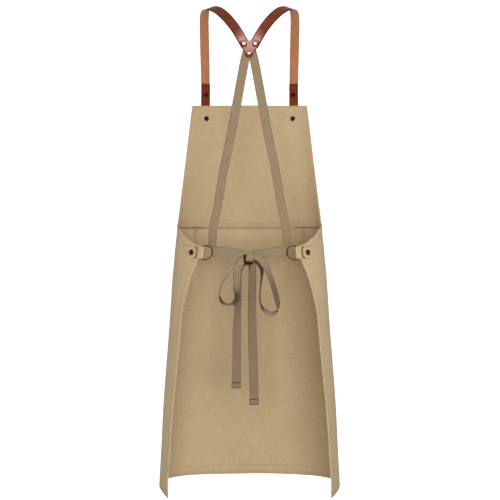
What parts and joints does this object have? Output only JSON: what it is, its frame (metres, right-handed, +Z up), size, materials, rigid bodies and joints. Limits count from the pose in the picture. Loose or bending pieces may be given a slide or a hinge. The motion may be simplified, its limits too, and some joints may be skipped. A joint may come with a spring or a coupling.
{
  "type": "bib apron",
  "caption": "Canvas bib apron in its worn shape, with leather shoulder straps crossed at a riveted patch, webbing to waist rings, and waist ties knotted in a bow.",
  "frame": {"origin": "midway between the wearer's shoulders, level with the undersides of the shoulder straps", "axes": "+Z up, +Y the way the wearer faces (out of the bib), +X to the wearer's right"},
  "size_m": [0.399, 0.2515, 1.0562],
  "materials": {
    "canvas": "woven cotton canvas",
    "strap_leather": "smooth, satin",
    "webbing": "woven cotton webbing",
    "stud_bronze": "dark antique",
    "rivet_copper": "polished",
    "ring_brass": "antique"
  },
  "bodies": {
    "root": {"apron_panel": "canvas", "bib_facing": "canvas", "tab_left": "canvas", "tab_right": "canvas", "strap_left": "strap_leather", "strap_right": "strap_leather", "cross_patch": "strap_leather", "web_left": "webbing", "web_right": "webbing", "tie_left": "webbing", "tie_right": "webbing", "bow_knot": "webbing", "bow_loop_left": "webbing", "bow_loop_right": "webbing", "bow_tail_left": "webbing", "bow_tail_right": "webbing", "strap_stud_left": "stud_bronze", "strap_stud_right": "stud_bronze", "bib_stud_left": "stud_bronze", "bib_stud_right": "stud_bronze", "tab_stud_left": "stud_bronze", "tab_stud_right": "stud_bronze", "cross_rivet_left": "rivet_copper", "cross_rivet_right": "rivet_copper", "cross_rivet_bottom": "rivet_copper", "d_ring_left": "ring_brass", "d_ring_right": "ring_brass"}
  },
  "joints": []
}
